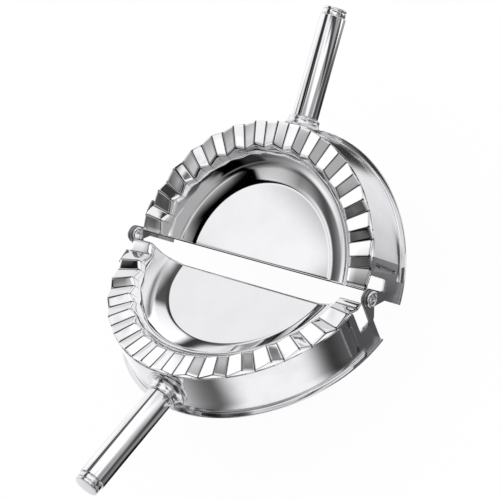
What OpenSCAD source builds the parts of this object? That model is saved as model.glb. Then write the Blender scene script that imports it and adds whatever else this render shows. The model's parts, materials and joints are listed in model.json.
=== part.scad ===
// Empanada press: two stamped half-moulds on cutter skirts, hinged by two tubular rivets.
// Millimetres. Hinge axis along X, +Z up, near half towards -Y, far half towards +Y. Half open, the
// press stands on the ends of both lips at z = 0. One half is modelled with its hinge axis on X.

/* [Mould] */
// Radius of the mould at the outer edge of the fluted rim
rim_r = 58; // [52:0.5:70]
// Width of the fluted rim, from its outer edge to the pocket wall
rim_w = 10; // [8:0.5:12]
// Depth of the pocket from the hinge axis to the foot of its wall
pocket_depth = 6.9; // [5:0.1:8]
// Width of the curved pocket wall, from the rim to the ledge
wall_w = 7.5; // [6:0.5:10]
// Width of the ledge between the wall and the step
ledge_w = 3.1; // [1.5:0.1:4]
// How far the ledge falls towards the middle
ledge_fall = 0.3; // [0:0.05:0.5]
// Width of the rounded step from the ledge to the flat middle of the pocket
step_w = 3.6; // [2:0.1:5]
// Drop of that step
disc_drop = 1; // [0.4:0.1:1.4]
// Thickness of the mould's sheet
mould_t = 0.8; // [0.6:0.1:1.2]
// Distance of the mould's straight edge from the hinge axis
edge_gap = 2.2; // [1:0.1:3]

/* [Flutes] */
// Flutes on one half
flutes = 16; // [12:1:20]
// Height of a flute from trough to crest
flute_h = 1.8; // [1:0.1:2.4]
// Share of the pitch that the long slope of a flute takes
flute_skew = 0.6; // [0.5:0.01:0.65]
// Place of the far half's first crest, as a share of the pitch from the hinge axis
first_crest = 0.275; // [0.25:0.005:0.35]
// Rounding of each fold, as a share of the pitch
fold_soft = 0.07; // [0.04:0.005:0.09]
// Least gap between the two rims when the press is shut
crimp_gap = 0.4; // [0.3:0.05:1]

/* [Skirt] */
// Depth of a half from the hinge axis to the lower face of its lip
skirt_h = 21.8; // [20.6:0.1:26]
// How far the skirt's outer face stands outside the rim
skirt_proud = 0.2; // [0:0.05:0.6]
// Thickness of the skirt's sheet
skirt_t = 0.8; // [0.6:0.1:1]
// Width of the lip, outside the skirt
lip_w = 2; // [1.4:0.1:3]
// Distance of the skirt's ends from the hinge axis
end_gap = 0.8; // [0.6:0.05:1.2]
// Distance of the window's outer edge from the hinge axis
window_w = 8.4; // [7:0.1:10]
// Depth of the window's lower edge below the hinge axis
window_h = 11; // [10:0.25:12]

/* [Hinge] */
// Fold between the two halves, counted from flat, in degrees
fold = 36.6; // [20:0.2:60]
// Radius of the rivet's shank
rivet_r = 2.5; // [2:0.1:2.8]
// Wall of the tubular rivet
rivet_wall = 0.5; // [0.3:0.05:0.8]
// Radius of the rivet's heads
rivet_head_r = 3.2; // [3.1:0.05:3.6]
// Thickness of the rivet's heads
rivet_head_t = 0.9; // [0.7:0.05:1.1]
// Radius of the ear round the rivet
ear_r = 3.6; // [3.5:0.1:4.2]
// Width of the arm that carries the ear
arm_w = 3; // [2.4:0.1:3.6]
// Thickness of the hinge straps
strap_t = 0.8; // [0.6:0.1:1]
// Distance of the strap's welded edge from the hinge axis
strap_w = 15.2; // [13:0.2:18]
// Depth of the welded plate's lower edge below the hinge axis
plate_h = 17.6; // [16:0.1:18.6]
// Depth of the welded plate's upper edge below the hinge axis
plate_top = 0.5; // [0.3:0.1:2]
// Radius of the spot-weld dimples
dimple_r = 1.1; // [0.8:0.1:1.3]
// Side play between the two ears of one hinge
ear_play = 0.3; // [0.3:0.05:0.5]
// Radial play of the turning ear on the rivet
rivet_fit = 0.05; // [0.03:0.01:0.1]

/* [Handle] */
// Radius of the handle's tube
handle_r = 5.35; // [5:0.05:6.2]
// Wall of the handle's tube
handle_wall = 0.9; // [0.7:0.05:1.2]
// Length of the handle's tube
handle_len = 41.9; // [30:0.1:110]
// Depth of the handle's axis below the hinge axis
handle_drop = 11.6; // [11:0.1:12.2]
// Length of the saddle between skirt and tube
saddle_len = 4.2; // [3.4:0.1:6]
// How much wider than the tube the saddle's foot is
saddle_flare = 2.4; // [1.6:0.1:2.6]
// Length of the threaded plug in the tube's inner end
plug_len = 12; // [9:0.5:20]
// Radius of the handle screw's thread
screw_r = 2; // [1.5:0.1:2.2]
// Length of the end cap outside the tube
cap_len = 3.4; // [2.6:0.1:5]
// How far the end cap goes into the tube
cap_grip = 6; // [4:0.5:10]

/* [Hidden] */
$fn = 64;
// Gap left between two pieces that are fastened to each other
seat = 0.05;
// Margin by which a cutting solid passes the solid that it cuts
over = 1;

// Rim and pocket
pocket_r = rim_r - rim_w;
ledge_r = pocket_r - wall_w;
step_r = ledge_r - ledge_w;
disc_r = step_r - step_w;
pitch = 180 / flutes;
amp = flute_h / 2;
// Part of the wave height by which two rims half a pitch apart fail to mesh, per crest
mismatch = 2 - 1 / flute_skew;
rim_z = -(crimp_gap + amp * mismatch) / 2;
// Height per width of the pocket wall where the flutes run into it
wall_slope = 1.5;
// Angle of the ellipse that the pocket wall follows, at the rim
wall_sweep = 55;
wall_steps = 7;
step_steps = 4;
// Share of the wall over which the flutes fade out
fade = 0.55;
lead_in = 1;

// Skirt
skirt_r = rim_r + skirt_proud;
skirt_in = skirt_r - skirt_t;
lip_r = skirt_r + lip_w;
skirt_top = rim_z - amp - mould_t - seat;
bend = 0.6;

// Hinge: strap, then inner head, near ear, far ear and outer head, from the skirt outwards
strap_r = skirt_r + seat;
near_ear_x = strap_r + rivet_head_t + seat;
far_ear_x = near_ear_x + strap_t + ear_play;
rivet_in_x = near_ear_x - seat - rivet_head_t;
rivet_out_x = far_ear_x + strap_t + ear_play / 2;
jog_h = 2;
web_low = skirt_h - skirt_t - seat;
strap_a = asin(strap_w / strap_r);
window_a = asin(window_w / strap_r);
end_a = asin(end_gap / strap_r);

// Handle
tube_start = skirt_r + saddle_len + seat;
tube_end = tube_start + handle_len;
handle_tip = tube_end + cap_len;
tube_in = handle_r - handle_wall;
hole_play = 0.2;
thread_play = 0.03;
head_r = screw_r * 1.8;
head_h = screw_r * 1.1;
head_seat = skirt_in - 0.2;
cap_r = handle_r - 0.5;

// Height of the hinge axis, with the lower corners of the lips' ends at z = 0
hinge_z = skirt_h * cos(fold / 2) - end_gap * sin(fold / 2);

// Height of the flute wave at a share of its pitch: 1 on a crest, -1 in a trough
function turn(u) = u - floor(u);
function fold_line(v) = v < flute_skew
    ? 1 - 2 * v / flute_skew
    : -1 + 2 * (v - flute_skew) / (1 - flute_skew);
function wave(u) =
    (fold_line(turn(u - fold_soft)) + 2 * fold_line(turn(u)) + fold_line(turn(u + fold_soft))) / 4;

// Angles at which the mould is sampled: both cut ends, and three per fold between them
cut_a = asin(edge_gap / rim_r);
shares = [
    0, fold_soft, flute_skew - fold_soft, flute_skew, flute_skew + fold_soft, 1 - fold_soft
];
function inner_angles(crest) = [
    for (k = [-1 : flutes], s = shares)
        let (a = (crest + k + s) * pitch)
        if (a > cut_a + 0.5 && a < 180 - cut_a - 0.5) a
];
function angles(crest) = concat([cut_a], inner_angles(crest), [180 - cut_a]);

// Rises from 0 to 1 with level ends
function ease(t) = let (u = min(max(t, 0), 1)) u * u * (3 - 2 * u);

// Upper end of the pocket wall for a wave height
function wall_top(w) = [pocket_r + amp * w / wall_slope - 0.5, rim_z + amp * w - 0.85];

// Section of the mould's top face at one angle, from the rim's edge to the pocket's middle
function section(w) =
    let (z = rim_z + amp * w, top = wall_top(w))
    concat(
        [[rim_r, z], [top[0] + 0.5 + lead_in, z], [top[0] + 0.6, z - 0.22], top],
        [
            for (k = [1 : wall_steps])
                let (
                    t = wall_sweep * (1 - k / wall_steps),
                    top = wall_top(w * (1 - ease(k / wall_steps / fade)))
                )
                [
                    ledge_r + (top[0] - ledge_r) * sin(t) / sin(wall_sweep),
                    -pocket_depth + (top[1] + pocket_depth) * (1 - cos(t)) / (1 - cos(wall_sweep))
                ]
        ],
        [
            for (k = [0 : step_steps])
                [
                    step_r - step_w * k / step_steps,
                    -pocket_depth - ledge_fall - disc_drop * ease(k / step_steps)
                ]
        ]
    );

// The same section one sheet thickness further down, square to the top face
function under(s) = [
    for (i = [0 : len(s) - 1])
        let (
            a = s[max(i - 1, 0)],
            b = s[min(i + 1, len(s) - 1)],
            d = (i == 0 || i == len(s) - 1) ? [-1, 0] : (b - a) / norm(b - a)
        )
        s[i] + mould_t * [-d[1], d[0]]
];

// A section point turned to its place; each ring spans from cut to cut at its own radius
function place(p, a) =
    let (
        c = asin(edge_gap / p[0]),
        t = c + (a - cut_a) * (90 - c) / (90 - cut_a)
    )
    [p[0] * cos(t), p[0] * sin(t), p[1]];

// The stamped mould: fluted rim, curved wall, ledge and flat middle in one sheet
module mould(crest) {
    turns = angles(crest);
    tops = [for (a = turns) section(wave(a / pitch - crest))];
    rings = len(tops[0]);
    n = len(turns);
    half_count = rings * n;
    points = concat(
        [for (i = [0 : rings - 1], j = [0 : n - 1]) place(tops[j][i], turns[j])],
        [for (i = [0 : rings - 1], j = [0 : n - 1]) place(under(tops[j])[i], turns[j])]
    );
    last = rings - 1;
    top_faces = [
        for (i = [0 : rings - 2], j = [0 : n - 2])
            let (a = i * n + j, b = a + n)
            each [[a, b, b + 1], [a, b + 1, a + 1]]
    ];
    under_faces = [
        for (i = [0 : rings - 2], j = [0 : n - 2])
            let (a = half_count + i * n + j, b = a + n)
            each [[a, b + 1, b], [a, a + 1, b + 1]]
    ];
    rim_faces = [
        for (j = [0 : n - 2])
            each [[j, j + 1, half_count + j + 1], [j, half_count + j + 1, half_count + j]]
    ];
    right_faces = [
        for (i = [0 : rings - 2])
            let (a = i * n)
            [a + n, a, half_count + a, half_count + a + n]
    ];
    left_faces = [
        for (i = [0 : rings - 2])
            let (a = i * n + n - 1)
            [a, a + n, half_count + a + n, half_count + a]
    ];
    disc_faces = [
        [for (j = [n - 1 : -1 : 0]) last * n + j],
        [for (j = [0 : n - 1]) half_count + last * n + j],
        [last * n + n - 1, last * n, half_count + last * n, half_count + last * n + n - 1]
    ];
    polyhedron(
        points,
        concat(top_faces, under_faces, rim_faces, right_faces, left_faces, disc_faces),
        convexity = 6
    );
}

// Puts a solid that stands on Z onto the handle's axis, its height counted from the hinge axis
module on_handle_axis() {
    translate([0, 0, -handle_drop]) rotate([-90, 0, 0]) children();
}

// The cutter skirt with its lip, its two windows and the hole for the handle screw
module skirt() {
    difference() {
        rotate_extrude(angle = 180, $fn = 128)
            polygon([
                [skirt_in, skirt_top],
                [skirt_r, skirt_top],
                [skirt_r, -skirt_h + skirt_t + bend],
                [skirt_r + bend, -skirt_h + skirt_t],
                [lip_r, -skirt_h + skirt_t],
                [lip_r, -skirt_h],
                [skirt_in + bend, -skirt_h],
                [skirt_in, -skirt_h + bend]
            ]);
        translate([-lip_r - over, -over, -skirt_h - over])
            cube([2 * (lip_r + over), end_gap + over, skirt_h + over]);
        for (x = [-lip_r - over, skirt_in / 2])
            translate([x, -over, -window_h])
                cube([lip_r + over - skirt_in / 2, window_w + over, window_h]);
        on_handle_axis() cylinder(r = screw_r + hole_play, h = lip_r);
    }
}

// A hinge strap at the right end: welded plate, web below the window, cranked arm and ear
module hinge_strap(ear_x, hole_r) {
    difference() {
        union() {
            rotate([0, 0, window_a])
                rotate_extrude(angle = strap_a - window_a)
                    translate([strap_r, -plate_h]) square([strap_t, plate_h - plate_top]);
            rotate([0, 0, end_a])
                rotate_extrude(angle = window_a - end_a + 0.6)
                    translate([strap_r, -web_low]) square([strap_t, web_low - window_h]);
            translate([0, end_gap + arm_w, 0])
                rotate([90, 0, 0])
                    linear_extrude(arm_w)
                        polygon([
                            [strap_r, -window_h - 2],
                            [strap_r + strap_t, -window_h - 2],
                            [strap_r + strap_t, -window_h],
                            [ear_x + strap_t, -window_h + jog_h],
                            [ear_x + strap_t, -window_h + jog_h + 1],
                            [ear_x, -window_h + jog_h + 1],
                            [ear_x, -window_h + jog_h],
                            [strap_r, -window_h]
                        ]);
            translate([ear_x, 0, 0])
                rotate([90, 0, 90])
                    linear_extrude(strap_t)
                        polygon([
                            [end_gap, -window_h + jog_h],
                            [end_gap + arm_w, -window_h + jog_h],
                            [ear_r, 0],
                            [0, ear_r / 2],
                            [-ear_r * cos(20), -ear_r * sin(20)]
                        ]);
            translate([ear_x, 0, 0]) rotate([0, 90, 0]) cylinder(r = ear_r, h = strap_t);
        }
        translate([ear_x - over, 0, 0])
            rotate([0, 90, 0]) cylinder(r = hole_r, h = strap_t + 2 * over);
        for (z = [plate_h - 3.2, plate_h - 13])
            rotate([0, 0, (window_a + strap_a) / 2])
                translate([strap_r + strap_t + 0.8 * dimple_r, 0, -z])
                    sphere(r = dimple_r, $fn = 32);
    }
}

// The tubular rivet at the right end, set in the near half's ear
module hinge_rivet() {
    rotate([0, 90, 0])
        rotate_extrude()
            polygon([
                [rivet_r - rivet_wall, rivet_in_x],
                [rivet_head_r - 0.3, rivet_in_x],
                [rivet_head_r, rivet_in_x + 0.3],
                [rivet_head_r, rivet_in_x + rivet_head_t],
                [rivet_r, rivet_in_x + rivet_head_t],
                [rivet_r, rivet_out_x],
                [rivet_head_r, rivet_out_x],
                [rivet_head_r, rivet_out_x + rivet_head_t - 0.3],
                [rivet_head_r - 0.3, rivet_out_x + rivet_head_t],
                [rivet_r - rivet_wall, rivet_out_x + rivet_head_t]
            ]);
}

// The saddle that seats the tube on the round skirt; its foot flares out
module handle_saddle() {
    steps = 6;
    foot = skirt_r - over;
    difference() {
        on_handle_axis()
            rotate_extrude()
                polygon(concat(
                    [[0, foot], [handle_r + 1 + saddle_flare, foot]],
                    [
                        for (k = [0 : steps])
                            let (t = 90 * k / steps)
                            [
                                handle_r + 1 + saddle_flare * (1 - sin(t)),
                                skirt_r + saddle_len - 0.8 - (saddle_len - 1) * cos(t)
                            ]
                    ],
                    [
                        [handle_r + 1, skirt_r + saddle_len - 0.4],
                        [handle_r + 0.6, skirt_r + saddle_len],
                        [0, skirt_r + saddle_len]
                    ]
                ));
        translate([0, 0, -skirt_h])
            cylinder(r = skirt_r + seat, h = skirt_h, $fn = 128);
        on_handle_axis() cylinder(r = screw_r + hole_play, h = tube_end);
    }
}

// The handle's tube, open at both ends
module handle_tube() {
    on_handle_axis()
        rotate_extrude()
            polygon([
                [tube_in, tube_start],
                [handle_r - 0.5, tube_start],
                [handle_r, tube_start + 0.5],
                [handle_r, tube_end - 0.3],
                [handle_r - 0.3, tube_end],
                [tube_in, tube_end]
            ]);
}

// The threaded plug pressed into the tube's inner end
module handle_plug() {
    on_handle_axis()
        rotate_extrude()
            polygon([
                [screw_r + thread_play, tube_start],
                [tube_in - thread_play, tube_start],
                [tube_in - thread_play, tube_start + plug_len],
                [screw_r + thread_play, tube_start + plug_len]
            ]);
}

// The screw that pulls the tube and saddle against the skirt, its head inside the skirt
module handle_screw() {
    difference() {
        on_handle_axis()
            rotate_extrude()
                polygon([
                    [0, head_seat - head_h],
                    [head_r * 0.8, head_seat - head_h],
                    [head_r, head_seat - head_h * 0.6],
                    [head_r, head_seat],
                    [screw_r, head_seat],
                    [screw_r, tube_start + plug_len - 1.4],
                    [screw_r - 0.4, tube_start + plug_len - 1],
                    [0, tube_start + plug_len - 1]
                ]);
        for (t = [0, 90])
            on_handle_axis()
                translate([0, 0, head_seat - head_h])
                    rotate([0, 0, t]) cube([head_r * 1.1, 0.9, head_h * 1.1], center = true);
    }
}

// The end cap: a grooved plug, a little slimmer than the tube
module handle_cap() {
    on_handle_axis()
        rotate_extrude()
            polygon([
                [0, tube_end - cap_grip],
                [tube_in - thread_play, tube_end - cap_grip],
                [tube_in - thread_play, tube_end + 0.3],
                [cap_r, tube_end + 0.3],
                [cap_r, tube_end + cap_len - 1.4],
                [cap_r - 0.5, tube_end + cap_len - 1.4],
                [cap_r - 0.5, tube_end + cap_len - 1],
                [cap_r, tube_end + cap_len - 1],
                [cap_r, tube_end + cap_len - 0.2],
                [cap_r - 0.2, tube_end + cap_len],
                [0, tube_end + cap_len]
            ]);
}

// The two places: each half is folded up by half the fold about the hinge axis
module near() {
    translate([0, 0, hinge_z]) rotate([-fold / 2, 0, 0]) mirror([0, 1, 0]) children();
}

module far() {
    translate([0, 0, hinge_z]) rotate([fold / 2, 0, 0]) children();
}

module left() {
    mirror([1, 0, 0]) children();
}

module near_mould() color("gainsboro") near() mould(first_crest + 0.5);
module far_mould() color("gainsboro") far() mould(first_crest);
module near_skirt() color("silver") near() skirt();
module far_skirt() color("silver") far() skirt();
module near_hinge_strap_right()
    color("darkgray") near() hinge_strap(near_ear_x, rivet_r + thread_play);
module near_hinge_strap_left()
    color("darkgray") near() left() hinge_strap(near_ear_x, rivet_r + thread_play);
module far_hinge_strap_right()
    color("gray") far() hinge_strap(far_ear_x, rivet_r + rivet_fit);
module far_hinge_strap_left()
    color("gray") far() left() hinge_strap(far_ear_x, rivet_r + rivet_fit);
module hinge_rivet_right() color("lightsteelblue") near() hinge_rivet();
module hinge_rivet_left() color("lightsteelblue") near() left() hinge_rivet();
module near_handle_saddle() color("slategray") near() handle_saddle();
module far_handle_saddle() color("slategray") far() handle_saddle();
module near_handle_tube() color("lightgray") near() handle_tube();
module far_handle_tube() color("lightgray") far() handle_tube();
module near_handle_plug() color("tan") near() handle_plug();
module far_handle_plug() color("tan") far() handle_plug();
module near_handle_screw() color("dimgray") near() handle_screw();
module far_handle_screw() color("dimgray") far() handle_screw();
module near_handle_cap() color("whitesmoke") near() handle_cap();
module far_handle_cap() color("whitesmoke") far() handle_cap();

near_mould();
far_mould();
near_skirt();
far_skirt();
near_hinge_strap_right();
near_hinge_strap_left();
far_hinge_strap_right();
far_hinge_strap_left();
hinge_rivet_right();
hinge_rivet_left();
near_handle_saddle();
far_handle_saddle();
near_handle_tube();
far_handle_tube();
near_handle_plug();
far_handle_plug();
near_handle_screw();
far_handle_screw();
near_handle_cap();
far_handle_cap();
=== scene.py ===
"""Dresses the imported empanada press: fine sheet forms, steel finishes, studio and camera."""

import json
import math

import bmesh
import bpy
import numpy as np
from mathutils import Matrix, Vector


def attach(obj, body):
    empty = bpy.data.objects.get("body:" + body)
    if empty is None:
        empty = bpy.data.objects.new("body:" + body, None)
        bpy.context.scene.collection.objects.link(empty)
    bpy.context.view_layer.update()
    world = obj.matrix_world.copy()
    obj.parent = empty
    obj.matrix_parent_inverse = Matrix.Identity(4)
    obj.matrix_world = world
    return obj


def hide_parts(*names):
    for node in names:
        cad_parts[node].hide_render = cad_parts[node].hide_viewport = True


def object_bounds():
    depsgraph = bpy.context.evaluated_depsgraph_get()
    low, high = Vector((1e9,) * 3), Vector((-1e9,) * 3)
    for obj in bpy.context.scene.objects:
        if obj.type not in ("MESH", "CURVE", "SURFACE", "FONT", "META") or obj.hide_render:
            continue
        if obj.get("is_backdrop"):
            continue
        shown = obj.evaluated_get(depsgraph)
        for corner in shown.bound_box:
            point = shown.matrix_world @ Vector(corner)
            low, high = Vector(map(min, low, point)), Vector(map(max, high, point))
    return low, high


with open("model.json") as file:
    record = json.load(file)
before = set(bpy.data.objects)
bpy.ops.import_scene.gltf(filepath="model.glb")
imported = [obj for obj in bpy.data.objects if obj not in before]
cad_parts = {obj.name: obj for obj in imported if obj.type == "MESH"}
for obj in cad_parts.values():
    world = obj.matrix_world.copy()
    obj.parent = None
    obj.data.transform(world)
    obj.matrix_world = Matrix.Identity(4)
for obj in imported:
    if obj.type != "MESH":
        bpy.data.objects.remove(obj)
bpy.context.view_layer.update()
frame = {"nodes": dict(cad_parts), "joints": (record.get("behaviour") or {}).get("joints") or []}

MM = 0.001
NEAR, FAR = -1, 1
HALVES = (("near", NEAR, "near_half"), ("far", FAR, "far_half"))
HANDS = (("right", 1), ("left", -1))

# Sizes in millimetres and degrees, the same as the solids have; only the pocket's wall runs differently
# between them. One half is described with the hinge axis along x, o outwards to its handle and z up, and
# then folded to its place.
FOLD = 36.6
RIM_R, RIM_W, WALL_W, LEDGE_W, STEP_W = 58.0, 10.0, 7.5, 3.1, 3.6
POCKET_DEPTH, LEDGE_FALL, DISC_DROP, MOULD_T, EDGE_GAP = 6.9, 0.3, 1.0, 0.8, 2.2
FLUTES, FLUTE_H, FLUTE_SKEW, FIRST_CREST = 16, 1.8, 0.6, 0.275
CRIMP_GAP, FOLD_SOFT = 0.4, 0.075
SKIRT_H, SKIRT_PROUD, SKIRT_T, LIP_W, BEND = 21.8, 0.2, 0.8, 2.0, 0.6
END_GAP, WINDOW_W, WINDOW_H = 0.8, 8.4, 11.0
RIVET_R, RIVET_WALL, RIVET_HEAD_R, RIVET_HEAD_T = 2.5, 0.5, 3.2, 0.9
STRAP_T, STRAP_W, EAR_PLAY, SEAT = 0.8, 15.2, 0.3, 0.05
PIT_R, PIT_Z = 1.1, (-14.4, -4.6)
HANDLE_R, HANDLE_WALL, HANDLE_LEN, HANDLE_DROP = 5.35, 0.9, 41.9, 11.6
SADDLE_LEN, SADDLE_FLARE, SCREW_R, HOLE_PLAY, THREAD_PLAY = 4.2, 2.4, 2.0, 0.2, 0.03
CAP_LEN, CAP_GRIP = 3.4, 6.0

POCKET_R = RIM_R - RIM_W
LEDGE_R = POCKET_R - WALL_W
STEP_R = LEDGE_R - LEDGE_W
DISC_R = STEP_R - STEP_W
PITCH = 180 / FLUTES
AMP = FLUTE_H / 2
RIM_Z = -(CRIMP_GAP + AMP * (2 - 1 / FLUTE_SKEW)) / 2
SKIRT_R = RIM_R + SKIRT_PROUD
SKIRT_IN = SKIRT_R - SKIRT_T
LIP_R = SKIRT_R + LIP_W
SKIRT_TOP = RIM_Z - AMP - MOULD_T - SEAT
TUBE_START = SKIRT_R + SADDLE_LEN + SEAT
TUBE_END = TUBE_START + HANDLE_LEN
TUBE_IN = HANDLE_R - HANDLE_WALL
CAP_R = HANDLE_R - 0.5
STRAP_R = SKIRT_R + SEAT
NEAR_EAR_X = STRAP_R + RIVET_HEAD_T + SEAT
FAR_EAR_X = NEAR_EAR_X + STRAP_T + EAR_PLAY
RIVET_IN_X = NEAR_EAR_X - SEAT - RIVET_HEAD_T
RIVET_OUT_X = FAR_EAR_X + STRAP_T + EAR_PLAY / 2
COS, SIN = math.cos(math.radians(FOLD / 2)), math.sin(math.radians(FOLD / 2))
HINGE_Z = SKIRT_H * COS - END_GAP * SIN


def folded(points, side):
    """Points of one half, in mm, put where that half stands, in metres."""
    x, o, z = np.moveaxis(np.asarray(points, float), -1, 0)
    return np.stack([x, side * (o * COS - z * SIN), o * SIN + z * COS + HINGE_Z], axis=-1) * MM


def rounded(corners, steps=4):
    """A closed or open outline of (a, b, radius) corners with each corner turned into an arc."""
    out = []
    count = len(corners)
    for i, (a, b, radius) in enumerate(corners):
        here = np.array([a, b], float)
        if not radius or i in (0, count - 1):
            out.append(here)
            continue
        before = np.array(corners[i - 1][:2], float) - here
        after = np.array(corners[i + 1][:2], float) - here
        before, after = before / np.linalg.norm(before), after / np.linalg.norm(after)
        half = math.acos(np.clip(before @ after, -1, 1)) / 2
        start, end = here + before * radius / math.tan(half), here + after * radius / math.tan(half)
        centre = here + (before + after) / np.linalg.norm(before + after) * radius / math.sin(half)
        u, v = start - centre, end - centre
        sweep = math.acos(np.clip(u @ v / radius**2, -1, 1))
        for k in range(steps + 1):
            t = k / steps
            out.append(centre + (math.sin((1 - t) * sweep) * u + math.sin(t * sweep) * v) / math.sin(sweep))
    return np.array(out)


def plain_mesh(name, verts, faces, uv=None):
    """A mesh from points in metres; uv gives each point its place on the unrolled face, in mm."""
    mesh = bpy.data.meshes.new(name)
    mesh.from_pydata([tuple(v) for v in verts], [], faces)
    if uv is not None:
        layer = mesh.uv_layers.new(name="unrolled")
        corners = np.zeros(len(mesh.loops), np.int32)
        mesh.loops.foreach_get("vertex_index", corners)
        layer.data.foreach_set("uv", np.asarray(uv, np.float32)[corners].ravel())
    return mesh


def made_plain(maker):
    """The mesh that an object's modifiers give. The object itself goes."""
    bpy.context.view_layer.update()
    mesh = bpy.data.meshes.new_from_object(maker.evaluated_get(bpy.context.evaluated_depsgraph_get()))
    bpy.data.objects.remove(maker)
    return mesh


def as_piece(name, mesh, body, node):
    """A finished mesh as a piece that rides on a body in place of the solid of a node."""
    piece = bpy.data.objects.new(name, mesh)
    bpy.context.scene.collection.objects.link(piece)
    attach(piece, body)
    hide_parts(node)
    return piece


def finished(name, mesh, body, node, sharp=32.0):
    """A mesh made a piece: doubles merged, faces outwards, folds over sharp degrees kept sharp."""
    work = bmesh.new()
    work.from_mesh(mesh)
    bmesh.ops.remove_doubles(work, verts=work.verts, dist=1e-7)
    bmesh.ops.recalc_face_normals(work, faces=work.faces)
    for edge in work.edges:
        edge.smooth = edge.calc_face_angle(4) < math.radians(sharp)
    for face in work.faces:
        face.smooth = True
    work.to_mesh(mesh)
    work.free()
    return as_piece(name, mesh, body, node)


def rolled_over(grids, reach, dip):
    """Columns added at both cut ends of a plate's two grids, in mm, that roll the edge over by dip on
    each face within reach of the cut, as buffing leaves it."""
    top, under = grids
    through = under - top
    depth = np.minimum(dip / np.linalg.norm(through, axis=-1, keepdims=True), 0.46)
    out = []
    for grid, inwards in ((top, 1), (under, -1)):
        ends = []
        for end in (0, -1):
            turn = np.linspace(90, 0, ROLL_STEPS, endpoint=False)[:: 1 if end == 0 else -1]
            t = np.radians(turn)[None, :, None]
            sunk = inwards * (through * depth)[:, end][:, None] * (1 - np.cos(t))
            ends.append(grid[:, end][:, None] + sunk - np.array([0, reach, 0]) * np.sin(t))
        out.append(np.concatenate([ends[0], grid, ends[1]], axis=1))
    return out


def sheet(top, under, keep=None, rolled=None):
    """Vertices, faces and sheared faces of a plate between two grids of points. Cells not kept are open.
    With rolled, that many columns at each end roll the cut over, and the last row closes the floor."""
    rows, cols = top.shape[:2]
    keep = np.ones((rows - 1, cols - 1), bool) if keep is None else keep
    size = rows * cols
    faces, sheared = [], []

    def at(i, j, face):
        return face * size + i * cols + j

    def kept(i, j):
        return 0 <= i < rows - 1 and 0 <= j < cols - 1 and keep[i, j]

    for i in range(rows - 1):
        for j in range(cols - 1):
            if not keep[i, j]:
                continue
            for face in (0, 1):
                faces.append((at(i, j, face), at(i + 1, j, face), at(i + 1, j + 1, face), at(i, j + 1, face)))
            sides = (
                (i - 1, j, (i, j), (i, j + 1)),
                (i + 1, j, (i + 1, j), (i + 1, j + 1)),
                (i, j - 1, (i, j), (i + 1, j)),
                (i, j + 1, (i, j + 1), (i + 1, j + 1)),
            )
            for ni, nj, a, b in sides:
                if not kept(ni, nj) and not (rolled and ni == rows - 1):
                    if ni == i:
                        sheared.append(len(faces))
                    faces.append((at(*a, 0), at(*b, 0), at(*b, 1), at(*a, 1)))
    if rolled:
        last = rows - 1
        for face in (0, 1):
            faces.append([at(last, j, face) for j in range(rolled, cols - rolled)])
            for j in range(rolled):
                a, b = at(last, j, face), at(last, cols - 1 - j, face)
                faces.append((a, a + 1, b - 1, b))
        sheared.append(len(faces))
        faces.append((at(last, 0, 0), at(last, cols - 1, 0), at(last, cols - 1, 1), at(last, 0, 1)))
    return np.concatenate([top.reshape(-1, 3), under.reshape(-1, 3)]), faces, sheared


# ---------------------------------------------------------------- finishes
# Size in mm of the blotches that fingers leave, and the name of the mesh's attribute that marks the thin dark
# lines of painted shade along the folds and the cut.
FINGER_SPOT, PAINTED_SHADE_LINES = 14, "painted_fold_shade"


def linear(code):
    """An sRGB hex colour as linear RGBA."""
    parts = [int(code[i : i + 2], 16) / 255 for i in (1, 3, 5)]
    return [c / 12.92 if c <= 0.04045 else ((c + 0.055) / 1.055) ** 2.4 for c in parts] + [1.0]


def add(tree, kind, inputs=None, **settings):
    """Adds a node with its settings; inputs gives its sockets a value or another node's output."""
    made = tree.nodes.new(kind)
    for key, value in settings.items():
        setattr(made, key, value)
    for key, value in (inputs or {}).items():
        if isinstance(value, bpy.types.NodeSocket):
            tree.links.new(value, made.inputs[key])
        else:
            made.inputs[key].default_value = value
    return made


def steel(name, clean, handled, roughness, haze, grain, relief, unrolled=False, painted_shade=None):
    """Bare steel. clean and handled are its colours, haze is what handling adds to its roughness, grain gives
    the size in mm of its working marks along each axis and relief their height in mm. The last colour is that
    of painted shade: thin dark lines, where the mesh marks them, that stand in for the dark that tight folds
    mirror."""
    material = bpy.data.materials.new(name)
    material.use_nodes = True
    tree = material.node_tree
    shader = tree.nodes["Principled BSDF"]
    shader.inputs["Metallic"].default_value = 1
    solid = add(tree, "ShaderNodeTexCoord").outputs["Object"]
    spots = {"Vector": solid, "Scale": 1 / (FINGER_SPOT * MM), "Detail": 3, "Roughness": 0.6}
    spots = add(tree, "ShaderNodeTexNoise", spots).outputs["Fac"]
    dull = add(tree, "ShaderNodeMapRange", {"Value": spots, "From Min": 0.42, "From Max": 0.72}).outputs[0]
    colours = {0: dull, 6: linear(clean), 7: linear(handled)}
    colour = add(tree, "ShaderNodeMix", colours, data_type="RGBA").outputs[2]
    # Painted shade: the base colour goes dark along the thin lines that the mesh's attribute marks.
    if painted_shade:
        line = add(tree, "ShaderNodeAttribute", attribute_name=PAINTED_SHADE_LINES).outputs["Fac"]
        colours = {0: line, 6: colour, 7: linear(painted_shade)}
        colour = add(tree, "ShaderNodeMix", colours, data_type="RGBA").outputs[2]
    tree.links.new(colour, shader.inputs["Base Color"])
    place = add(tree, "ShaderNodeUVMap", uv_map="unrolled").outputs[0] if unrolled else solid
    unit = 1 if unrolled else 1 / MM
    marks = {"Vector": place, "Scale": [unit / size for size in grain]}
    marks = add(tree, "ShaderNodeMapping", marks).outputs[0]
    marks = add(tree, "ShaderNodeTexNoise", {"Vector": marks, "Scale": 1, "Detail": 2}).outputs["Fac"]
    rough = add(tree, "ShaderNodeMath", {0: dull, 1: haze, 2: roughness}, operation="MULTIPLY_ADD")
    tree.links.new(rough.outputs[0], shader.inputs["Roughness"])
    bump = add(tree, "ShaderNodeBump", {"Height": marks, "Distance": relief * MM})
    tree.links.new(bump.outputs[0], shader.inputs["Normal"])
    return material
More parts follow.
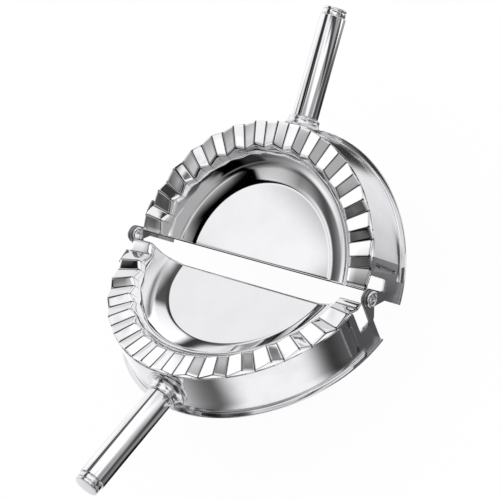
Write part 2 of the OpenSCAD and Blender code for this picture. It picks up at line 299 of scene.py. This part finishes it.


# Sheet buffed to a mirror after stamping: sharp reflections that swim a little where the metal stretched,
# over 6 mm, and a haze of fingers. Thin dark lines along the folds and the cut give every flute an outline;
# they are painted shade in the base colour, standing in for the dark that tight bends would mirror, since the
# bends alone mirror too little. Thin dark lines along the folds and the cut give every flute an outline; they
# are drawn as metal that the buff missed, which is a guess, since tight bends alone mirror too little.
mirror_sheet = steel(
    "mirror_buffed_304_sheet", "#E8E8EA", "#E4E4E6", 0.025, 0.02, (6, 6, 6), 0.002, painted_shade="#2C2C2E"
)
# The shears leave a torn, duller edge with marks across the 0.8 mm; drawn coarser, at 0.5 mm.
sheared_edge = steel("sheared_304_edge", "#6E6E72", "#5E5E62", 0.32, 0.1, (0.5, 3, 3), 0.02)
# Strip belt-polished along its length before it was bent: soft reflections with faint long lines. The
# belt's lines are 0.05 mm apart, drawn at 0.5 mm.
polished_strip = steel("belt_polished_304_strip", "#E2E2E4", "#DADADD", 0.1, 0.05, (40, 0.5, 1), 0.002, True)
# Blasted strip: an even grey sheen without clear reflections, its grit of 0.1 mm drawn at 0.6 mm.
satin_strap = steel("blasted_304_strip", "#98989C", "#8C8C90", 0.38, 0.08, (0.6, 0.6, 0.6), 0.006)
# The pits that the welding electrodes leave in that strip: darker from the heat, and pressed smooth.
weld_pit = steel("electrode_pressed_304", "#7C7C80", "#707074", 0.16, 0.1, (0.5, 0.5, 0.5), 0.004)
# Drawn and polished tube: clear reflections with fine lines along it, every 0.4 mm round it.
drawn_tube = steel("drawn_polished_304_tube", "#E8E8EA", "#DCDCDF", 0.05, 0.06, (0.8, 60, 1), 0.001, True)
# Bar turned on a lathe and polished: rings that break the reflections lightly, at 0.35 mm.
turned_bar = steel("turned_polished_304_bar", "#E2E2E4", "#D6D6D9", 0.06, 0.05, (60, 0.35, 1), 0.002, True)
# Collar spun to its flare and only half polished: soft reflections, broken by its spinning rings.
spun_collar = steel("spun_304_collar", "#DEDEE1", "#D2D2D5", 0.17, 0.05, (60, 0.5, 1), 0.002, True)
# Rivet with heads rolled by a forming tool: polished rings round the bore.
rolled_rivet = steel("rolled_304_rivet", "#DEDEE1", "#CFCFD3", 0.06, 0.05, (30, 0.4, 1), 0.003, True)
# Screws and plugs, zinc-plated: a duller, faintly bluish grey with crystals of about 1 mm.
zinc_screw = steel("zinc_plated_steel", "#B9BCC2", "#A9ACB3", 0.26, 0.1, (1, 1, 1), 0.004)


# ---------------------------------------------------------------- stamped half-moulds
WALL_STEPS, BROW_STEPS, ROLL_STEPS = 48, 8, 8
# The pocket's wall from the flat middle to the brow: share of the way out and slope in degrees.
STEEP = 62
WALL_SLOPES = ((0, 0), (0.17, 14), (0.46, 16), (0.75, 33), (1, STEEP))
# The flutes fade over this share of the wall, and their noses there are this much rounder than the rim's.
FADE, ROUND_NOSE = 0.2, 3.5
# How far from a straight cut the buff rolls the edge over, and by how much.
ROLL_REACH, ROLL_DIP = 1.0, 0.36
# Width of the painted dark line of shade beside a fold, as a share of the fold's softness, and columns of the
# roll painted dark in it.
FOLD_LINE, ROLL_DARK = 0.6, 5
# What each point of a blank says to the fluting.
PRESSED = ("turn", "pull", "lift", "ease")


def smooth(t):
    """0 to 1 with soft ends."""
    t = np.clip(t, 0, 1)
    return t * t * (3 - 2 * t)


def flute_angles(crest):
    """Angles at which the sheet is sampled, close together where it folds."""
    cut = math.degrees(math.asin(EDGE_GAP / RIM_R))
    near_fold = np.array([-1.2, -1, -0.75, -0.5, -0.25, 0, 0.25, 0.5, 0.75, 1, 1.2]) * FOLD_SOFT
    shares = np.concatenate([near_fold, near_fold + FLUTE_SKEW, [0.2, 0.3, 0.4, 0.75, 0.82]])
    angles = sorted({round(float((crest + k + s) * PITCH), 5) for k in range(-2, FLUTES + 2) for s in shares})
    return cut, np.array([cut] + [a for a in angles if cut + 0.6 < a < 180 - cut - 0.6] + [180 - cut])


def mould_section():
    """Rows from the rim's edge to the flat middle, before fluting: for the top and the under face each (r, z,
    outward pull, lift, ease, line). Pull and lift say how far the top of a flute moves that row, ease how
    much softer its folds are there than at the rim's edge, and line how much painted shade darkens them
    there."""
    edge, brow_in, brow_out, brow_drop = 0.14, 1.25, 0.5, 0.85
    lean = AMP / 1.5
    top, under = [], []

    def row(r, z, pull, lift, ease, line, down=(0, 1)):
        top.append((r, z, pull, lift, ease, line))
        under.append((r - MOULD_T * down[0], z - MOULD_T * down[1], pull, lift, ease, line))

    for dr, dz in ((0, edge), (edge * 0.12, edge * 0.5), (edge * 0.45, edge * 0.14), (edge, 0)):
        top.append((RIM_R - dr, RIM_Z - dz, 0, AMP, 1, 1))
        under.append((RIM_R - dr, RIM_Z - MOULD_T + dz, 0, AMP, 1, 1))
    for share in (0.12, 0.4, 0.7, 1):
        row(RIM_R - edge + (POCKET_R + brow_in - RIM_R + edge) * share, RIM_Z, lean * share, AMP, 1, 1)
    steep = math.radians(STEEP)
    bend = (-brow_out + 0.45 * math.cos(steep), -brow_drop + 0.45 * math.sin(steep))
    ends = ((brow_in, 0), (0.3, 0), bend, (-brow_out, -brow_drop))
    for k in range(1, BROW_STEPS + 1):
        t = k / BROW_STEPS
        mix = ((1 - t) ** 3, 3 * t * (1 - t) ** 2, 3 * t * t * (1 - t), t**3)
        turn = steep * smooth(t)
        r, z = (sum(m * end[axis] for m, end in zip(mix, ends)) for axis in (0, 1))
        ease = 1 + (ROUND_NOSE - 1) * smooth(t)
        row(POCKET_R + r, RIM_Z + z, lean, AMP, ease, 1 - 0.5 * smooth(t), (-math.sin(turn), math.cos(turn)))
    floor = -POCKET_DEPTH - LEDGE_FALL - DISC_DROP
    way = np.linspace(0, 1, 8 * WALL_STEPS + 1)
    slope = np.radians(np.interp(way, *zip(*WALL_SLOPES)))
    climb = np.concatenate([[0], np.cumsum((np.tan(slope[1:]) + np.tan(slope[:-1])) / 2)])
    climb *= (RIM_Z - brow_drop - floor) / climb[-1]
    for k in range(len(way) - 9, -1, -8):
        calm = 1 - smooth((1 - way[k]) / FADE)
        r = DISC_R + (POCKET_R - brow_out - DISC_R) * way[k]
        down = (-math.sin(slope[k]), math.cos(slope[k]))
        row(r, floor + climb[k], lean * calm, AMP * calm, ROUND_NOSE, 0.5 * calm**2, down)
    for r in (DISC_R - 0.3, DISC_R - 0.8):
        row(r, floor, 0, 0, ROUND_NOSE, 0)
    return np.array(top), np.array(under)


def fluting_tree():
    """Presses the flutes into a plain half-mould and folds it to its side of the hinge. Each point of
    the blank says its angle (turn), how far a flute pulls it outwards (pull) and lifts it (lift), and
    how much softer the folds are there (ease)."""
    tree = bpy.data.node_groups.new("fluted half-mould", "GeometryNodeTree")
    tree.interface.new_socket("Blank", in_out="INPUT", socket_type="NodeSocketGeometry")
    for size in ("Flutes", "First crest", "Long slope", "Fold softness", "Side", "Fold", "Hinge height"):
        tree.interface.new_socket(size, in_out="INPUT", socket_type="NodeSocketFloat")
    for finish in ("Sheet", "Sheared edge"):
        tree.interface.new_socket(finish, in_out="INPUT", socket_type="NodeSocketMaterial")
    tree.interface.new_socket("Half-mould", in_out="OUTPUT", socket_type="NodeSocketGeometry")
    size = add(tree, "NodeGroupInput").outputs

    def math_node(operation, *inputs):
        return add(tree, "ShaderNodeMath", dict(enumerate(inputs)), operation=operation).outputs[0]

    blank = {}
    for name, kind in [(name, "FLOAT") for name in PRESSED] + [("cut", "BOOLEAN")]:
        read = add(tree, "GeometryNodeInputNamedAttribute", {"Name": name}, data_type=kind)
        blank[name] = read.outputs["Attribute"]
    pitches = math_node("MULTIPLY", math_node("DIVIDE", blank["turn"], 180.0), size["Flutes"])
    along = math_node("FRACT", math_node("SUBTRACT", pitches, size["First crest"]))
    long_rate = math_node("DIVIDE", 2.0, size["Long slope"])
    short_rate = math_node("DIVIDE", 2.0, math_node("SUBTRACT", 1.0, size["Long slope"]))
    falling = math_node("SUBTRACT", 1.0, math_node("MULTIPLY", along, long_rate))
    past = math_node("SUBTRACT", along, size["Long slope"])
    rising = math_node("SUBTRACT", math_node("MULTIPLY", past, short_rate), 1.0)
    soft = math_node("MULTIPLY", size["Fold softness"], blank["ease"])
    first = math_node("SMOOTH_MIN", falling, math_node("ADD", rising, short_rate), soft)
    second = math_node("SMOOTH_MIN", rising, math_node("ADD", falling, long_rate), soft)
    flute = math_node("SMOOTH_MAX", first, second, soft)
    place = add(tree, "GeometryNodeInputPosition").outputs[0]
    level = add(tree, "ShaderNodeVectorMath", {0: place, 1: (1, 1, 0)}, operation="MULTIPLY").outputs[0]
    outward = add(tree, "ShaderNodeVectorMath", {0: level}, operation="NORMALIZE").outputs[0]
    pull = {0: outward, "Scale": math_node("MULTIPLY", flute, blank["pull"])}
    pulled = add(tree, "ShaderNodeVectorMath", pull, operation="SCALE").outputs[0]
    lifted = add(tree, "ShaderNodeCombineXYZ", {"Z": math_node("MULTIPLY", flute, blank["lift"])}).outputs[0]
    shift = add(tree, "ShaderNodeVectorMath", {0: pulled, 1: lifted}, operation="ADD").outputs[0]
    pressed = add(tree, "GeometryNodeSetPosition", {"Geometry": size["Blank"], "Offset": shift}).outputs[0]
    mirror = add(tree, "ShaderNodeCombineXYZ", {"X": 1.0, "Y": size["Side"], "Z": 1.0}).outputs[0]
    sided = add(tree, "GeometryNodeTransform", {"Geometry": pressed, "Scale": mirror}).outputs[0]
    turn = math_node("MULTIPLY", size["Fold"], size["Side"])
    tilt = add(tree, "ShaderNodeCombineXYZ", {"X": turn}).outputs[0]
    hinge = add(tree, "ShaderNodeCombineXYZ", {"Z": size["Hinge height"]}).outputs[0]
    stand = {"Geometry": sided, "Rotation": tilt, "Translation": hinge}
    standing = add(tree, "GeometryNodeTransform", stand).outputs[0]
    real = add(tree, "GeometryNodeRealizeInstances", {"Geometry": standing}).outputs[0]
    coated = add(tree, "GeometryNodeSetMaterial", {"Geometry": real, "Material": size["Sheet"]}).outputs[0]
    edge = {"Geometry": coated, "Selection": blank["cut"], "Material": size["Sheared edge"]}
    add(tree, "NodeGroupOutput", {0: add(tree, "GeometryNodeSetMaterial", edge).outputs[0]})
    return tree


def half_mould(half, side, body, crest, tree):
    """A blank in rows and columns, pressed and folded to its side by the fluting tree."""
    cut, angles = flute_angles(crest)
    turn = np.pad(angles, ROLL_STEPS, mode="edge")[None, :]
    along = (turn / PITCH - crest) % 1
    off_fold = np.minimum(np.minimum(along, 1 - along), abs(along - FLUTE_SKEW))
    # Painted shade: a dark line beside every fold, weaker down the wall, and over the rolled columns at each
    # cut.
    fold_line = np.clip(1 - off_fold / (FOLD_LINE * FOLD_SOFT), 0, 1)
    cut_line = np.zeros_like(turn)
    cut_line[0, :ROLL_DARK] = cut_line[0, -ROLL_DARK:] = 1
    grids, moves = [], []
    for rows in mould_section():
        r, z, pull, lift, ease, line = (column[:, None] for column in rows.T)
        start = np.degrees(np.arcsin((EDGE_GAP + ROLL_REACH) / r))
        t = np.radians(start + (angles - cut) * (90 - start) / (90 - cut))
        grids.append(np.stack([r * np.cos(t), r * np.sin(t), np.broadcast_to(z, t.shape)], -1))
        size = (len(rows), turn.shape[1])
        # The painted shade goes on the blank as a point attribute, with the fluting's values.
        painted_shade = np.maximum(fold_line * line, cut_line)
        moves.append([np.broadcast_to(v, size).ravel() for v in (turn, pull * MM, lift * MM, ease, painted_shade)])
    verts, faces, sheared = sheet(*rolled_over(grids, ROLL_REACH, ROLL_DIP), rolled=ROLL_STEPS)
    blank = plain_mesh(f"{half}_mould_blank", verts * MM, faces)
    for name, values in zip((*PRESSED, PAINTED_SHADE_LINES), np.concatenate(moves, axis=1)):
        blank.attributes.new(name, "FLOAT", "POINT").data.foreach_set("value", values.astype(np.float32))
    cuts = np.zeros(len(faces), bool)
    cuts[sheared] = True
    blank.attributes.new("cut", "BOOLEAN", "FACE").data.foreach_set("value", cuts)
    maker = bpy.data.objects.new(f"{half}_mould_maker", blank)
    bpy.context.scene.collection.objects.link(maker)
    press = maker.modifiers.new("fluting", "NODES")
    press.node_group = tree
    sizes = {
        "Flutes": float(FLUTES),
        "First crest": crest,
        "Long slope": FLUTE_SKEW,
        "Fold softness": 2 * FOLD_SOFT / (FLUTE_SKEW * (1 - FLUTE_SKEW)),
        "Side": float(side),
        "Fold": math.radians(FOLD / 2),
        "Hinge height": HINGE_Z * MM,
        "Sheet": mirror_sheet,
        "Sheared edge": sheared_edge,
    }
    for socket in tree.interface.items_tree:
        if socket.in_out == "INPUT" and socket.name in sizes:
            press[socket.identifier] = sizes[socket.name]
    mesh = made_plain(maker)
    for name in PRESSED:
        mesh.attributes.remove(mesh.attributes[name])
    return finished(f"{half}_mould_sheet", mesh, body, f"{half}_mould", sharp=50)


# ---------------------------------------------------------------- skirts with lip and windows
# How far the lip's edge is rounded, in mm.
LIP_EDGE = 0.25


def strip_section(wall_r, foot, up):
    """One face of the skirt's strip from its top edge to the lip's edge, as (r, z) points, and how many of
    its rows have the window. up is 1 for the face that runs under the lip and -1 for the one over it."""
    heights = [SKIRT_TOP, SKIRT_TOP - 0.3, -6.0, -WINDOW_H + 0.3, -WINDOW_H, -WINDOW_H - 0.3, -16.0]
    face = [(wall_r + 0.1 * up, SKIRT_TOP)] + [(wall_r, z - 0.1) for z in heights]
    window_rows = 1 + heights.index(-WINDOW_H)
    face[window_rows] = (wall_r, -WINDOW_H)
    bend = np.radians(np.linspace(180, 270, 7))
    face += [(wall_r + BEND * (1 + math.cos(t)), foot + BEND * (1 + math.sin(t))) for t in bend]
    face += [(LIP_R - LIP_EDGE, foot), (LIP_R - 0.06, foot + 0.06 * up), (LIP_R, foot + LIP_EDGE * up)]
    return face, window_rows


def skirt(half, side, body):
    """The strip bent to a half round, its lip turned out and a window left open at both ends."""
    outer, window_rows = strip_section(SKIRT_R, -SKIRT_H + SKIRT_T, -1)
    inner, _ = strip_section(SKIRT_IN, -SKIRT_H, 1)
    marks = np.array([END_GAP, WINDOW_W])
    base = np.degrees(np.arcsin(marks / SKIRT_R))
    right = np.concatenate([np.linspace(base[0], base[1], 6), np.linspace(base[1], 90, 72)[1:]])
    columns = np.concatenate([right, 180 - right[-2::-1]])
    grids = []
    for path in (outer, inner):
        rows = []
        for r, z in path:
            own = np.degrees(np.arcsin(marks / r))
            t = np.interp(np.minimum(columns, 180 - columns), [base[0], base[1], 90], [own[0], own[1], 90])
            t = np.radians(np.where(columns > 90, 180 - t, t))
            rows.append(np.stack([r * np.cos(t), r * np.sin(t), np.full_like(t, z)], -1))
        grids.append(np.array(rows))
    keep = np.ones((len(outer) - 1, len(columns) - 1), bool)
    keep[:window_rows, :5] = keep[:window_rows, -5:] = False
    verts, faces, _ = sheet(folded(grids[0], side), folded(grids[1], side), keep)
    length = np.cumsum([0] + [math.dist(a, b) for a, b in zip(outer, outer[1:])])
    along = np.radians(columns) * SKIRT_R
    flat = np.stack(np.broadcast_arrays(along[None, :], length[:, None]), -1).reshape(-1, 2)
    mesh = plain_mesh(f"{half}_skirt_strip", verts, faces, np.concatenate([flat, flat]))
    mesh.materials.append(polished_strip)
    return finished(f"{half}_skirt_strip", mesh, body, f"{half}_skirt")


# ---------------------------------------------------------------- turned pieces
def lathe(outline, segments=96):
    """Points (across, along, up), faces and unrolled places of a closed outline of (radius, along)."""
    outline = np.array([*outline, outline[0]])
    t = np.linspace(0, 2 * math.pi, segments + 1)
    r, along = outline[:, :1], outline[:, 1:]
    verts = np.stack(np.broadcast_arrays(r * np.cos(t), along, r * np.sin(t)), -1).reshape(-1, 3)
    length = np.cumsum([0, *np.linalg.norm(np.diff(outline, axis=0), axis=1)])
    flat = np.stack(np.broadcast_arrays(t[None, :] * outline[:, 0].max(), length[:, None]), -1).reshape(-1, 2)
    ring = segments + 1
    faces = [
        (i * ring + j, i * ring + j + 1, (i + 1) * ring + j + 1, (i + 1) * ring + j)
        for i in range(len(outline) - 1)
        for j in range(segments)
        if outline[i, 0] > 1e-9 or outline[i + 1, 0] > 1e-9
    ]
    return verts, faces, flat


def turned(name, outline, place, material, body, node, segments=96):
    """A piece turned about the axis that place puts its points on."""
    verts, faces, flat = lathe(outline, segments)
    mesh = plain_mesh(name, place(verts), faces, flat)
    mesh.materials.append(material)
    return finished(name, mesh, body, node)


def on_handle(side):
    """Puts turned points on one handle's axis."""
    return lambda verts: folded(verts - np.array([0, 0, HANDLE_DROP]), side)


def on_hinge(sign):
    """Puts turned points on the hinge's axis, at its right or left end."""
    return lambda verts: folded(np.stack([sign * verts[:, 1], verts[:, 0], verts[:, 2]], -1), NEAR)


def handle_tube(half, side, body):
    """An open tube with a rounded inner end, cut square at the cap."""
    start, end = TUBE_START, TUBE_END
    outline = rounded(
        [(TUBE_IN, start, 0), (HANDLE_R, start, 0.55), (HANDLE_R, end, 0.28), (TUBE_IN, end, 0)], steps=6
    )
    outline = np.insert(outline, len(outline) // 2, [(HANDLE_R, start + HANDLE_LEN / 2)], axis=0)
    node = f"{half}_handle_tube"
    return turned(f"{node}_polished", outline, on_handle(side), drawn_tube, body, node, 128)


def handle_cap(half, side, body):
    """A disc with a groove round it, on a spigot that sits in the tube."""
    end, spigot = TUBE_END, TUBE_IN - THREAD_PLAY
    outline = rounded(
        [
            (0, end - CAP_GRIP, 0),
            (spigot, end - CAP_GRIP, 0.4),
            (spigot, end + 0.3, 0),
            (CAP_R, end + 0.3, 0.12),
            (CAP_R, end + CAP_LEN - 1.4, 0.12),
            (CAP_R - 0.5, end + CAP_LEN - 1.4, 0),
            (CAP_R - 0.5, end + CAP_LEN - 1, 0),
            (CAP_R, end + CAP_LEN - 1, 0.12),
            (CAP_R, end + CAP_LEN, 0.35),
            (0, end + CAP_LEN, 0),
        ]
    )
    node = f"{half}_handle_cap"
    return turned(f"{node}_turned", outline, on_handle(side), turned_bar, body, node)


def handle_saddle(half, side, body):
    """A turned collar whose foot follows the skirt's round face."""
    neck, face, hole = HANDLE_R + 1, SKIRT_R + SADDLE_LEN, SCREW_R + HOLE_PLAY
    foot_r, seat_r = neck + SADDLE_FLARE, SKIRT_R + SEAT
    outline = [(hole, face), (neck - 0.4, face), (neck - 0.15, face - 0.08), (neck, face - 0.4)]
    outline += [
        (neck + SADDLE_FLARE * (1 - math.sin(t)), face - 0.8 - (SADDLE_LEN - 1) * math.cos(t))
        for t in np.radians(np.linspace(90, 0, 19))
    ]
    outline += [(foot_r, SKIRT_R - 1)] + [(r, SKIRT_R - 1) for r in np.linspace(foot_r, hole, 8)[1:]]

    def seated(verts):
        verts[:, 1] = np.maximum(verts[:, 1], np.sqrt(seat_r**2 - verts[:, 0] ** 2))
        return on_handle(side)(verts)

    node = f"{half}_handle_saddle"
    return turned(f"{node}_spun", outline, seated, spun_collar, body, node, 128)


def hinge_rivet(hand, sign):
    """A tubular rivet through both ears, with a rolled head at each end."""
    bore = RIVET_R - RIVET_WALL
    inner, outer = RIVET_IN_X, RIVET_OUT_X + RIVET_HEAD_T
    outline = rounded(
        [
            (bore, (inner + outer) / 2, 0),
            (bore, inner, 0.5),
            (RIVET_HEAD_R, inner, 0.6),
            (RIVET_HEAD_R, inner + RIVET_HEAD_T, 0.2),
            (RIVET_R, inner + RIVET_HEAD_T, 0),
            (RIVET_R, outer - RIVET_HEAD_T, 0),
            (RIVET_HEAD_R, outer - RIVET_HEAD_T, 0.2),
            (RIVET_HEAD_R, outer, 0.6),
            (bore, outer, 0.5),
            (bore, (inner + outer) / 2 + 0.1, 0),
        ]
    )
    node = f"hinge_rivet_{hand}"
    return turned(f"{node}_rolled", outline, on_hinge(sign), rolled_rivet, "near_half", node)


# How much deburring takes off an edge, in mm.
EASED = 0.12


def eased_copy(node, body, material):
    """A solid's own shape with its edges broken, as deburred sheet and machined pieces have them."""
    mesh = frame["nodes"][node].data.copy()
    work = bmesh.new()
    work.from_mesh(mesh)
    bmesh.ops.remove_doubles(work, verts=work.verts, dist=2e-6)
    bmesh.ops.dissolve_limit(work, angle_limit=math.radians(1), verts=work.verts, edges=work.edges)
    work.to_mesh(mesh)
    work.free()
    maker = bpy.data.objects.new(f"{node}_maker", mesh)
    bpy.context.scene.collection.objects.link(maker)
    bevel = maker.modifiers.new("eased edges", "BEVEL")
    bevel.width, bevel.segments, bevel.angle_limit = EASED * MM, 2, math.radians(38)
    mesh = made_plain(maker)
    mesh.materials.clear()
    mesh.materials.append(material)
    mesh.shade_smooth()
    mesh.set_sharp_from_angle(angle=math.radians(20))
    return as_piece(f"{node}_eased", mesh, body, node)


def weld_pits(strap, side, sign):
    """Gives the two pits of a strap's plate their own finish."""
    strap.data.materials.append(weld_pit)
    turn = (math.asin(WINDOW_W / STRAP_R) + math.asin(STRAP_W / STRAP_R)) / 2
    out = STRAP_R + STRAP_T + 0.8 * PIT_R
    for low in PIT_Z:
        ball = Vector(folded([sign * out * math.cos(turn), out * math.sin(turn), low], side))
        for face in strap.data.polygons:
            if (face.center - ball).length < 1.02 * PIT_R * MM:
                face.material_index = 1


pieces = {}
fluting = fluting_tree()
for half, side, body in HALVES:
    crest = FIRST_CREST + (0.5 if side == NEAR else 0)
    pieces[half, "mould"] = half_mould(half, side, body, crest, fluting)
    pieces[half, "skirt"] = skirt(half, side, body)
    pieces[half, "tube"] = handle_tube(half, side, body)
    pieces[half, "cap"] = handle_cap(half, side, body)
    pieces[half, "saddle"] = handle_saddle(half, side, body)
    pieces[half, "screw"] = eased_copy(f"{half}_handle_screw", body, zinc_screw)
    for hand, sign in HANDS:
        strap = f"{half}_hinge_strap_{hand}"
        pieces[half, "strap", hand] = eased_copy(strap, body, satin_strap)
        weld_pits(pieces[half, "strap", hand], side, sign)
    plug = frame["nodes"][f"{half}_handle_plug"]
    plug.data.materials.clear()
    plug.data.materials.append(zinc_screw)
for hand, sign in HANDS:
    pieces["rivet", hand] = hinge_rivet(hand, sign)


# ---------------------------------------------------------------- camera, floor and light
camera_data = bpy.data.cameras.new("camera")
camera_data.lens, camera_data.sensor_width = 109.2, 36
camera = bpy.data.objects.new("camera", camera_data)
bpy.context.scene.collection.objects.link(camera)
right, down = Vector((0.7598, 0.4418, -0.4771)), Vector((0.2043, -0.8588, -0.4699))
forward = Vector((-0.6173, 0.2595, -0.7427))
spot = Vector((367.4, -148.7, 443.4 + HINGE_Z)) * MM
camera.matrix_world = Matrix.Translation(spot) @ Matrix((right, -down, -forward)).transposed().to_4x4()
bpy.context.scene.camera = camera
bpy.context.scene.view_settings.view_transform = "Standard"

# A white paper floor just under all that the far half sweeps when the press is opened flat. Its own
# white is mostly light that it gives back evenly and only the SHADOWED share takes shadow, so the shadow
# stays faint; from below it is clear. It reaches FLOOR_HALF metres each way.
FLOOR_HALF, SHADOWED = 2.0, 0.06
swing = np.radians(np.linspace(*frame["joints"][0]["range_deg"], 60))
lowest = 0.0
for key, piece in pieces.items():
    if key[0] == "far":
        points = np.array([v.co for v in piece.data.vertices]) - [0, 0, HINGE_Z * MM]
        swept = points[:, 1:2] * np.sin(swing) + points[:, 2:] * np.cos(swing) + HINGE_Z * MM
        lowest = min(lowest, swept.min())
paper = bpy.data.materials.new("matt_white_paper")
paper.use_nodes = True
tree = paper.node_tree
tree.nodes.clear()
glow = add(tree, "ShaderNodeEmission", {"Color": linear("#FFFFFF"), "Strength": 1})
matt = add(tree, "ShaderNodeBsdfDiffuse", {"Color": linear("#FFFFFF")})
white = add(tree, "ShaderNodeMixShader", {0: SHADOWED, 1: glow.outputs[0], 2: matt.outputs[0]})
clear = add(tree, "ShaderNodeBsdfTransparent")
below = add(tree, "ShaderNodeNewGeometry").outputs["Backfacing"]
both = add(tree, "ShaderNodeMixShader", {0: below, 1: white.outputs[0], 2: clear.outputs[0]})
add(tree, "ShaderNodeOutputMaterial", {"Surface": both.outputs[0]})
floor_mesh = bpy.data.meshes.new("floor")
edge = FLOOR_HALF
corners = [(x, y, lowest - 0.2 * MM) for x, y in ((-edge, -edge), (edge, -edge), (edge, edge), (-edge, edge))]
floor_mesh.from_pydata(corners, [], [(0, 1, 2, 3)])
floor_mesh.materials.append(paper)
floor = bpy.data.objects.new("floor", floor_mesh)
floor.visible_glossy = False
bpy.context.scene.collection.objects.link(floor)
floor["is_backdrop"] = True

# The studio that the steel mirrors, which nothing else sees: soft boxes and black flags on a pale ground.
# Their places come from a numeric search for the reflections wanted on the steel, seen from the camera.
# Azimuth 0 is towards -y and 90 towards +x, elevation counts up from the level; half sizes, roll and soft
# edge are in degrees. Later cards hang before earlier ones.
GROUND = 1.00
CARDS = (
    # azimuth, elevation, half width, half height, roll, soft edge, brightness
    (-15, -90, 60, 13, -4, 14, 0.00),
    (90, 49, 42, 65, -6, 5, 1.37),
    (-85, 10, 33, 85, 3, 8, 1.32),
    (113, -34, 78, 5, 52, 31, 0.43),
    (112, -25, 37, 15, -3, 19, 0.03),
    (58, -38, 17, 3, -5, 14, 0.00),
    (66, 18, 46, 14, -7, 12, 0.44),
    (-74, 65, 36, 11, -5, 14, 0.00),
    (-16, 42, 13, 36, -49, 34, 0.00),
    (-7, -3, 49, 30, 31, 18, 0.03),
    (-63, 46, 2, 29, 27, 19, 0.06),
    (-70, 49, 3, 2, 32, 2, 1.19),
    (-145, 40, 11, 33, -3, 3, 0.16),
    (-118, 79, 7, 71, -9, 2, 1.10),
    (18, -28, 33, 11, -5, 15, 1.18),
    (-30, -29, 26, 18, 14, 15, 0.10),
    (153, -65, 31, 10, -26, 20, 0.03),
    (-78, -25, 40, 22, -3, 31, 1.01),
    (-141, -35, 9, 17, -44, 7, 0.04),
    (-126, 57, 5, 59, -24, 3, 0.05),
    (-38, 48, 18, 7, -23, 2, 0.00),
    (16, 73, 35, 2, 29, 7, 0.98),
    (-78, 23, 2, 23, 9, 34, 0.26),
    (27, 48, 22, 21, 28, 10, 0.50),
    (101, -24, 4, 43, -30, 34, 0.14),
    (-168, 21, 3, 18, 22, 15, 0.00),
    (-9, 18, 13, 16, 37, 3, 0.00),
    (-66, 26, 5, 17, 89, 10, 0.09),
    (-153, 8, 9, 16, -14, 3, 1.33),
    (-151, 30, 2, 13, 51, 26, 0.00),
    (-128, 31, 9, 11, -55, 2, 1.04),
    (-144, 71, 13, 4, 8, 10, 1.16),
    (73, -10, 13, 10, 28, 14, 0.08),
    (108, 50, 12, 8, -38, 10, 0.09),
    (-15, 7, 20, 6, -63, 6, 0.03),
    (98, 36, 3, 42, 0, 2, 0.06),
    (127, -29, 7, 14, 19, 2, 1.40),
)


def card_axes(azimuth, elevation, roll):
    """Unit vectors from the press to a card, and across and up the card."""
    a, e, r = (math.radians(v) for v in (azimuth, elevation, roll))
    away = Vector((math.sin(a) * math.cos(e), -math.cos(a) * math.cos(e), math.sin(e)))
    across = Vector((math.cos(a), math.sin(a), 0))
    up = Vector((-math.sin(a) * math.sin(e), math.cos(a) * math.sin(e), math.cos(e)))
    return away, across * math.cos(r) + up * math.sin(r), up * math.cos(r) - across * math.sin(r)


world = bpy.data.worlds.new("studio")
world.use_nodes = True
bpy.context.scene.world = world
tree = world.node_tree
tree.nodes.clear()
ray = add(tree, "ShaderNodeTexCoord").outputs["Generated"]
level = GROUND
for azimuth, elevation, wide, high, roll, soft, bright in CARDS:
    away, *sides = card_axes(azimuth, elevation, roll)
    front = add(tree, "ShaderNodeVectorMath", {0: ray, 1: away}, operation="DOT_PRODUCT")
    share = {0: front.outputs["Value"], 1: 0.0}
    share = add(tree, "ShaderNodeMath", share, operation="GREATER_THAN").outputs[0]
    for side, half_size in zip(sides, (wide, high)):
        off = add(tree, "ShaderNodeVectorMath", {0: ray, 1: side}, operation="DOT_PRODUCT")
        off = add(tree, "ShaderNodeMath", {0: off.outputs["Value"]}, operation="ABSOLUTE")
        edge, blur = math.sin(math.radians(half_size)), math.radians(soft) / 2
        inside = {"Value": off.outputs[0], "From Min": edge - blur, "From Max": edge + blur}
        inside |= {"To Min": 1, "To Max": 0}
        inside = add(tree, "ShaderNodeMapRange", inside, interpolation_type="SMOOTHSTEP")
        share = add(tree, "ShaderNodeMath", {0: share, 1: inside.outputs[0]}, operation="MULTIPLY").outputs[0]
    level = add(tree, "ShaderNodeMix", {0: share, 2: level, 3: bright}).outputs[0]
path = add(tree, "ShaderNodeLightPath")
seen = add(tree, "ShaderNodeMix", {0: path.outputs["Is Glossy Ray"], 2: 1.0, 3: level})
shine = add(tree, "ShaderNodeBackground", {"Color": seen.outputs[0]})
add(tree, "ShaderNodeOutputWorld", {"Surface": shine.outputs[0]})

low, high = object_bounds()
